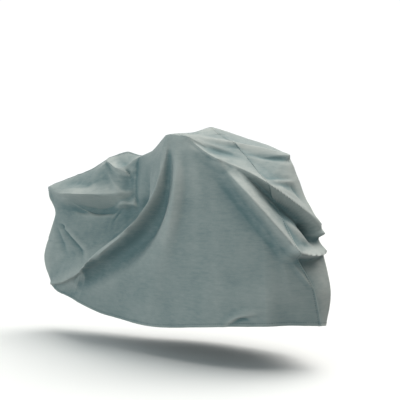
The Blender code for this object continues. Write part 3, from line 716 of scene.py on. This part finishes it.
class Wire:
    """A shader value. Its sums, differences and products become Math nodes."""

    def __init__(self, shades, output):
        self.shades, self.output = shades, output

    def math(self, operation, *values):
        return self.shades.node("ShaderNodeMath", {"operation": operation}, dict(enumerate(values)))

    def __add__(self, other):
        return self.math("ADD", self, other)

    def __sub__(self, other):
        return self.math("SUBTRACT", self, other)

    def __rsub__(self, other):
        return self.math("SUBTRACT", other, self)

    def __mul__(self, other):
        return self.math("MULTIPLY", self, other)

    __radd__ = __add__
    __rmul__ = __mul__

    def clamped(self):
        return self.shades.node("ShaderNodeClamp", {}, {0: self})


class Shades:
    """A material's node tree, with one way to add a node."""

    def __init__(self, name):
        self.material = bpy.data.materials.new(name)
        self.material.use_nodes = True
        self.tree = self.material.node_tree

    def node(self, kind, settings=None, sockets=None, output=0):
        return Wire(self, add_node(self.tree, kind, settings, sockets).outputs[output])

    def finish(self, **sockets):
        """Sets the shader's sockets, with spaces for the underscores in their names."""
        named = {key.replace("_", " "): value for key, value in sockets.items()}
        fill_sockets(self.tree, self.tree.nodes["Principled BSDF"], named)
        return self.material

    def places(self, scale=(1, 1, 1)):
        """The object's own coordinates, scaled."""
        at = self.node("ShaderNodeTexCoord", {}, {}, "Object")
        return self.node("ShaderNodeMapping", {}, {"Vector": at, "Scale": scale})

    def noise(self, scale, stretch=(1, 1, 1), detail=2.0, roughness=0.5):
        """Noise from 0 to 1 on the object's own coordinates, in spots to the metre."""
        sockets = {"Vector": self.places(stretch), "Scale": scale, "Detail": detail}
        return self.node("ShaderNodeTexNoise", {}, {**sockets, "Roughness": roughness}, "Fac")

    def blend(self, share, low, high):
        """A colour between two others."""
        return self.node("ShaderNodeMix", {"data_type": "RGBA"}, {0: share, 6: low, 7: high}, 2)

    def bump(self, height, depth, strength=1.0):
        sockets = {"Height": height, "Distance": depth, "Strength": strength}
        return self.node("ShaderNodeBump", {}, sockets, "Normal")


def opaque(colour):
    return (*colour, 1.0)


def cover_cloth(name, cloth):
    """Thin non-woven cloth: felted fibres, bonding dots, faint blotches, with painted shade in
    folds and painted highlight on crests.
    """
    shades = Shades(name)
    blotch = shades.noise(7.0, detail=3.0)
    streaks = shades.noise(20.0, (1, 1, 6.5), detail=3.0, roughness=0.6)
    fibres = shades.noise(170.0, (0.35, 0.35, 2.2), detail=2.0, roughness=0.7)
    felt = shades.noise(900.0, detail=1.0)
    dots = shades.node(
        "ShaderNodeTexVoronoi",
        {"feature": "F1"},
        {"Vector": shades.places(), "Scale": 520.0, "Randomness": 0.35},
        "Distance",
    )
    painted_shade = shades.node("ShaderNodeAttribute", {"attribute_name": "painted_shade"}, {}, "Fac")
    mottle = shades.noise(42.0, (0.7, 0.7, 1.3), detail=2.0)
    tone = 0.5 + (blotch - 0.5) * 0.5 + (mottle - 0.5) * 0.3 + (streaks - 0.5) * 0.35
    tone = tone + (fibres - 0.5) * 0.3
    # painted shade in the folds and painted highlight on the crests, from the cloth's shape
    tone = tone + painted_shade * 0.42 + (0.4 - dots) * 0.12
    colour = shades.blend(tone.clamped(), opaque(cloth.deep_colour), opaque(cloth.pale_colour))
    height = felt * 0.35 + fibres * 0.9 + streaks * 0.5 - (0.5 - dots) * 0.5
    return shades.finish(
        Base_Color=colour,
        Roughness=(0.60 + (fibres - 0.5) * 0.16).clamped(),
        Normal=shades.bump(height, 0.0007, 0.6),
        Specular_IOR_Level=0.35,
        Sheen_Weight=0.18,
        Sheen_Roughness=0.45,
    )


def sewing_thread(name, colour):
    """Twisted polyester thread."""
    shades = Shades(name)
    fuzz = shades.noise(2500.0, (1, 1, 1), detail=1.0)
    patches = shades.noise(60.0)
    tone = (0.3 + fuzz * 0.5 + (patches - 0.5) * 0.6).clamped()
    low = tuple(0.6 * c for c in colour)
    high = tuple(1.7 * c for c in colour)
    return shades.finish(
        Base_Color=shades.blend(tone, opaque(low), opaque(high)),
        Roughness=0.55,
        Normal=shades.bump(fuzz, 0.0002, 0.5),
        Sheen_Weight=0.2,
    )


def floor_paint(name, colour):
    """Matt pale studio floor."""
    shades = Shades(name)
    cloud = shades.noise(0.6)
    low = tuple(FLOOR_CLOUD * c for c in colour)
    return shades.finish(
        Base_Color=shades.blend(cloud, opaque(low), opaque(colour)),
        Roughness=0.85,
        Specular_IOR_Level=0.1,
    )


# --------------------------------------------------------------------- thread


def stitch_nodes():
    """Lays thread stitches along a path, each an arch that goes into the cloth at both ends."""
    tree = bpy.data.node_groups.new("stitches", "GeometryNodeTree")
    for name, side, kind in (
        ("Path", "INPUT", "Geometry"),
        ("Pitch", "INPUT", "Float"),
        ("Stitch length", "INPUT", "Float"),
        ("Thread width", "INPUT", "Float"),
        ("Unevenness", "INPUT", "Float"),
        ("Seed", "INPUT", "Int"),
        ("Thread", "INPUT", "Material"),
        ("Stitches", "OUTPUT", "Geometry"),
    ):
        tree.interface.new_socket(name, in_out=side, socket_type="NodeSocket" + kind)

    def add(kind, sockets=None, output=0, **settings):
        """Adds a node and gives one of its outputs."""
        return add_node(tree, kind, settings, sockets).outputs[output]

    def times(value, factor):
        return add("ShaderNodeMath", {0: value, 1: factor}, operation="MULTIPLY")

    def turned(sockets, axis, pivot):
        kind = "FunctionNodeAlignRotationToVector"
        return add(kind, sockets, axis=axis, pivot_axis=pivot)

    given = add_node(tree, "NodeGroupInput").outputs
    whole, width, uneven = (given[k] for k in ("Stitch length", "Thread width", "Unevenness"))
    line = add("GeometryNodeMeshToCurve", {"Mesh": given["Path"]})
    pitch = {"Curve": line, "Length": given["Pitch"]}
    evenly = add("GeometryNodeResampleCurve", pitch, mode="LENGTH")
    half = times(whole, 0.5)
    sunk = times(width, STITCH_ENDS)
    start = add("ShaderNodeCombineXYZ", {"X": times(half, -1.0), "Z": sunk})
    end = add("ShaderNodeCombineXYZ", {"X": half, "Z": sunk})
    top = add("ShaderNodeCombineXYZ", {"Z": times(width, STITCH_TOP)})
    bend = {"Resolution": 5, "Start": start, "Middle": top, "End": end}
    arch = add("GeometryNodeCurveQuadraticBezier", bend)
    ring = add("GeometryNodeCurvePrimitiveCircle", {"Resolution": 6, "Radius": times(width, 0.5)})
    tube = {"Curve": arch, "Profile Curve": ring, "Fill Caps": True}
    stitch = add("GeometryNodeCurveToMesh", tube)
    along = turned({"Vector": add("GeometryNodeInputTangent")}, "X", "AUTO")
    out = add("GeometryNodeInputNamedAttribute", {"Name": "outward"}, data_type="FLOAT_VECTOR")
    turn = turned({"Rotation": along, "Vector": out}, "Z", "X")
    spread = {2: times(uneven, -1.0), 3: uneven, "Seed": given["Seed"]}
    longer = add("FunctionNodeRandomValue", spread, 1, data_type="FLOAT")
    longer = add("ShaderNodeMath", {0: longer, 1: 1.0}, operation="ADD")
    scale = add("ShaderNodeCombineXYZ", {"X": longer, "Y": 1.0, "Z": 1.0})
    laid = {"Points": evenly, "Instance": stitch, "Rotation": turn, "Scale": scale}
    laid = add("GeometryNodeInstanceOnPoints", laid)
    solid = add("GeometryNodeRealizeInstances", {"Geometry": laid})
    smooth = add("GeometryNodeSetShadeSmooth", {0: solid})
    painted = add("GeometryNodeSetMaterial", {"Geometry": smooth, "Material": given["Thread"]})
    add_node(tree, "NodeGroupOutput", {}, {"Stitches": painted})
    return tree


def stitch_line(name, runs, thread, material, seed):
    """Stitches along runs of points, each run with its outward directions, as a plain mesh."""
    points, edges, directions = [], [], []
    for places, normals in runs:
        first = len(points)
        points += [tuple(p) for p in places]
        directions.append(normals)
        edges += [(first + i, first + i + 1) for i in range(len(places) - 1)]
    mesh = bpy.data.meshes.new(name + "_path")
    mesh.from_pydata(points, edges, [])
    layer = mesh.attributes.new("outward", "FLOAT_VECTOR", "POINT")
    layer.data.foreach_set("vector", np.concatenate(directions).astype(np.float32).ravel())
    guide = add_piece(name + "_path", mesh)
    tree = bpy.data.node_groups.get("stitches") or stitch_nodes()
    modifier = guide.modifiers.new("stitches", "NODES")
    modifier.node_group = tree
    values = {
        "Pitch": thread.stitch + thread.gap,
        "Stitch length": thread.stitch,
        "Thread width": thread.width,
        "Unevenness": STITCH_UNEVENNESS,
        "Seed": seed,
        "Thread": material,
    }
    for item in tree.interface.items_tree:
        if item.in_out == "INPUT" and item.name in values:
            modifier[item.identifier] = values[item.name]
    graph = bpy.context.evaluated_depsgraph_get()
    made = bpy.data.meshes.new_from_object(guide.evaluated_get(graph))
    made.name = name
    guide.modifiers.clear()
    bpy.data.objects.remove(guide)
    if not made.polygons:
        raise RuntimeError(f"{name}: no stitches were laid")
    return add_piece(name, made)


# ------------------------------------------------------------------- settings


def number(name, description, default, **more):
    return bpy.props.FloatProperty(name=name, description=description, default=default, **more)


def length(name, description, default, **more):
    return number(name, description, default, unit="LENGTH", precision=4, **more)


def angle(name, description, degrees):
    return number(name, description, math.radians(degrees), subtype="ANGLE")


def colour(name, description, default):
    return bpy.props.FloatVectorProperty(
        name=name, description=description, default=default, subtype="COLOR", min=0, max=1
    )


class CoverCloth(bpy.types.PropertyGroup):
    """Sizes and colours of the cloth."""

    thickness: length("Thickness", "Thickness of the cloth", 0.0010, min=0.0002)
    seam_height: length("Seam height", "How far the seam stands up", 0.0012, min=0)
    seam_width: length("Seam width", "Half the width of the seam's ridge", 0.0038, min=0.001)
    hem_width: length("Hem width", "Depth of the turned hem", 0.018, min=0.005)
    slack: number("Unevenness", "Height of the small swells and crumples", 1.0, min=0, max=3,
                  subtype="FACTOR")
    # the deep tone also colours the painted shade in folds, and the pale tone the painted highlight
    # on crests
    deep_colour: colour("Deep colour", "The cloth's deeper tone", (0.128, 0.208, 0.220))
    pale_colour: colour("Pale colour", "The cloth's paler tone", (0.452, 0.490, 0.470))


class CoverThread(bpy.types.PropertyGroup):
    """Sizes and colour of the sewing thread."""

    stitch: length("Stitch", "Length of one stitch", 0.0058, min=0.001)
    gap: length("Gap", "Space between two stitches", 0.0050, min=0.0005)
    width: length("Width", "Thickness of the thread", 0.0018, min=0.0002)
    inset: length("Inset", "How far the stitches stand from the seam", 0.0070, min=0)
    colour: colour("Colour", "The thread's colour", (0.022, 0.034, 0.035))
    seed: bpy.props.IntProperty(name="Seed", description="Pattern of unevenness", default=4)


class CoverStage(bpy.types.PropertyGroup):
    """The floor, the light and the camera."""

    floor_colour: colour("Floor colour", "Colour of the floor", (0.93, 0.935, 0.935))
    key_power: number("Key light", "Strength of the main light", 2.1, min=0)
    key_turn: angle("Key turn", "Where the main light stands, from the near side", 130)
    key_height: angle("Key height", "How high the main light stands", 66)
    key_softness: angle("Key softness", "Width of the main light", 60)
    sky_power: number("Room light", "Strength of the light from all sides", 1.0, min=0)
    camera_place: bpy.props.FloatVectorProperty(
        name="Camera", description="Where the camera stands, from the ground",
        default=(2.572, -3.204, 0.843), subtype="TRANSLATION", unit="LENGTH",
    )
    camera_turn: bpy.props.FloatVectorProperty(
        name="Camera turn", description="The camera's yaw, pitch and roll",
        default=(math.radians(36.56), math.radians(-1.2), math.radians(0.18)), subtype="EULER",
    )
    camera_lens: number("Lens", "Focal length in millimetres", 72.0, min=10)


# --------------------------------------------------------------------- pieces

GRIDS = {}  # the cloth's finished faces, which the thread follows


def cloth_slot(node):
    """The record's material slot of a panel."""
    slots = [material["slot"] for material in frame["record"]["materials"]]
    own = node.replace("panel", "cloth")
    return own if own in slots else slots[0]


def add_piece(name, mesh, *materials):
    piece = bpy.data.objects.new(name, mesh)
    for material in materials:
        piece.data.materials.append(material)
    bpy.context.scene.collection.objects.link(piece)
    return piece


class COVER_OT_panels(bpy.types.Operator):
    """Makes the two cloth panels, with their folds, seam ridge and turned hem"""

    bl_idname = "cover.panels"
    bl_label = "Cloth panels"

    def execute(self, context):
        cloth = context.scene.cover_cloth
        grids, normals = cover_grids(cloth)
        for name, grid, normal in zip(("right_panel", "left_panel"), grids, normals):
            placed = grid - np.array(REST_POINT)
            hem = seam_and_hem(grid)[1]
            double = smooth_step((cloth.hem_width - hem) / HEM_STEP)
            thick = cloth.thickness * (1 + double)
            inner = placed - normal * thick[..., None]
            # the points' painted shade and highlight: darker in folds, paler on crests
            mesh = sheet_mesh(name, placed, inner, {"painted_shade": painted_shade_of(placed, normal)})
            material = cover_cloth(name.replace("panel", "cloth"), cloth)
            panel = add_piece(name + "_cloth", mesh, material)
            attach(panel, "root")
            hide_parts(name)
            cloth_slot(name)
            GRIDS[name] = (placed, normal)
        return {"FINISHED"}


class COVER_OT_seam_stitches(bpy.types.Operator):
    """Sews the stitches that run beside the seam, on the right panel"""

    bl_idname = "cover.seam_stitches"
    bl_label = "Seam stitches"

    def execute(self, context):
        thread = context.scene.cover_thread
        grid, normal = GRIDS["right_panel"]
        steps = run_lengths(grid, 1)
        along = run_lengths(grid, 0)
        inset = thread.inset
        row = int(np.argmin(np.abs(np.median(steps, axis=0) - inset)))
        level = along[:, grid.shape[1] // 3]
        first = int(np.argmin(np.abs(level - inset)))
        last = int(np.argmin(np.abs(level[-1] - level - inset)))
        run = (
            [(first, j) for j in range(grid.shape[1] - 1, row, -1)]
            + [(i, row) for i in range(first, last)]
            + [(last, j) for j in range(row, grid.shape[1])]
        )
        index = tuple(np.array(run).T)
        material = sewing_thread("seam_thread", thread.colour)
        piece = stitch_line(
            "seam_stitches", [(grid[index], normal[index])], thread, material, thread.seed
        )
        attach(piece, "root")
        cloth_slot("right_panel")
        return {"FINISHED"}


class COVER_OT_hem_stitches(bpy.types.Operator):
    """Sews the stitches along the turned hem of both panels"""

    bl_idname = "cover.hem_stitches"
    bl_label = "Hem stitches"

    def execute(self, context):
        thread = context.scene.cover_thread
        depth = context.scene.cover_cloth.hem_width - HEM_SEWN
        runs = []
        for grid, normal in GRIDS.values():
            hem = seam_and_hem(grid)[1]
            places, normals = [], []
            for column, away, out in zip(grid, hem, normal):
                order = np.argsort(away)
                places.append([np.interp(depth, away[order], column[order, k]) for k in range(3)])
                normals.append([np.interp(depth, away[order], out[order, k]) for k in range(3)])
            runs.append((np.array(places), np.array(normals)))
        material = sewing_thread("hem_thread", [c * HEM_THREAD_TINT for c in thread.colour])
        piece = stitch_line("hem_stitches", runs, thread, material, thread.seed + 1)
        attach(piece, "root")
        cloth_slot("right_panel")
        return {"FINISHED"}


class COVER_OT_declare(bpy.types.Operator):
    """A step that does nothing"""

    bl_idname = "cover.declare"
    bl_label = "Flat sizes"

    def execute(self, context):
        return {"FINISHED"}


class COVER_OT_stage(bpy.types.Operator):
    """Sets up the pale floor, the soft light and the camera"""

    bl_idname = "cover.stage"
    bl_label = "Stage"

    def execute(self, context):
        stage = context.scene.cover_stage
        scene = context.scene
        ground = -REST_POINT[2]
        self.floor(stage, ground)
        self.room_light(stage, scene)
        self.key_light(stage, scene)
        self.camera(stage, scene)
        scene.view_settings.view_transform = "Standard"
        return {"FINISHED"}

    def floor(self, stage, ground):
        mesh = bpy.data.meshes.new("floor")
        reach = FLOOR_REACH
        corners = [(-reach, -reach), (reach, -reach), (reach, reach), (-reach, reach)]
        mesh.from_pydata([(x, y, ground) for x, y in corners], [], [(0, 1, 2, 3)])
        floor = add_piece("floor", mesh, floor_paint("floor_paint", stage.floor_colour))
        floor.visible_diffuse = False
        floor.visible_shadow = False

    def room_light(self, stage, scene):
        world = bpy.data.worlds.new("room")
        world.use_nodes = True
        scene.world = world
        tree = world.node_tree
        where = add_node(tree, "ShaderNodeTexCoord").outputs["Generated"]
        light = ROOM_COLOUR
        for patch in PATCHES:
            direction = Vector((patch.x, patch.y, patch.z)).normalized()
            facing = add_node(tree, "ShaderNodeVectorMath", {"operation": "DOT_PRODUCT"},
                              {0: where, 1: direction}).outputs["Value"]
            share = add_node(tree, "ShaderNodeMapRange", {"interpolation_type": "SMOOTHSTEP"},
                             {"Value": facing, "From Min": patch.start, "From Max": patch.full})
            colour = (patch.red, patch.green, patch.blue)
            light = add_node(tree, "ShaderNodeVectorMath", {"operation": "MULTIPLY_ADD"},
                             {0: share.outputs["Result"], 1: colour, 2: light}).outputs["Vector"]
        fill_sockets(tree, tree.nodes["Background"], {"Strength": stage.sky_power, "Color": light})

    def key_light(self, stage, scene):
        light = bpy.data.lights.new("key_light", "SUN")
        light.energy = stage.key_power
        light.angle = stage.key_softness
        light.color = KEY_COLOUR
        turn, rise = stage.key_turn, stage.key_height
        towards = Vector(
            (math.sin(turn) * math.cos(rise), -math.cos(turn) * math.cos(rise), math.sin(rise))
        )
        lamp = bpy.data.objects.new("key_light", light)
        lamp.location = towards * KEY_AWAY
        lamp.rotation_euler = towards.to_track_quat("Z", "Y").to_euler()
        scene.collection.objects.link(lamp)

    def camera(self, stage, scene):
        data = bpy.data.cameras.new("camera")
        data.sensor_width = 36.0
        data.lens = stage.camera_lens
        yaw, pitch, roll = stage.camera_turn
        ahead = Vector(
            (-math.sin(yaw) * math.cos(pitch), math.cos(yaw) * math.cos(pitch), math.sin(pitch))
        )
        level = Vector((math.cos(yaw), math.sin(yaw), 0))
        up = level.cross(ahead)
        right = level * math.cos(roll) + up * math.sin(roll)
        top = up * math.cos(roll) - level * math.sin(roll)
        place = Matrix((right, top, -ahead)).transposed().to_4x4()
        place.translation = Vector(stage.camera_place) - Vector(REST_POINT)
        camera = bpy.data.objects.new("camera", data)
        camera.matrix_world = place
        scene.collection.objects.link(camera)
        scene.camera = camera


class COVER_PT_panel(bpy.types.Panel):
    """Lists the cover's steps and settings"""

    bl_idname = "COVER_PT_panel"
    bl_label = "Bicycle cover"
    bl_space_type = "VIEW_3D"
    bl_region_type = "UI"
    bl_category = "Cover"

    def draw(self, context):
        for step in STEPS:
            self.layout.operator(step.bl_idname)
        for group in (context.scene.cover_cloth, context.scene.cover_thread,
                      context.scene.cover_stage):
            box = self.layout.box()
            for name in type(group).__annotations__:
                box.prop(group, name)


STEPS = (COVER_OT_panels, COVER_OT_seam_stitches, COVER_OT_hem_stitches, COVER_OT_declare,
         COVER_OT_stage)
GROUPS = {"cover_cloth": CoverCloth, "cover_thread": CoverThread, "cover_stage": CoverStage}


def register():
    for group in (*GROUPS.values(), *STEPS, COVER_PT_panel):
        bpy.utils.register_class(group)
    for name, group in GROUPS.items():
        setattr(bpy.types.Scene, name, bpy.props.PointerProperty(type=group))


def unregister():
    for name in GROUPS:
        delattr(bpy.types.Scene, name)
    for group in (COVER_PT_panel, *STEPS[::-1], *GROUPS.values()):
        bpy.utils.unregister_class(group)


def main():
    register()
    for step in STEPS:
        section, name = step.bl_idname.split(".")
        getattr(getattr(bpy.ops, section), name)()


if __name__ == "__main__":
    main()
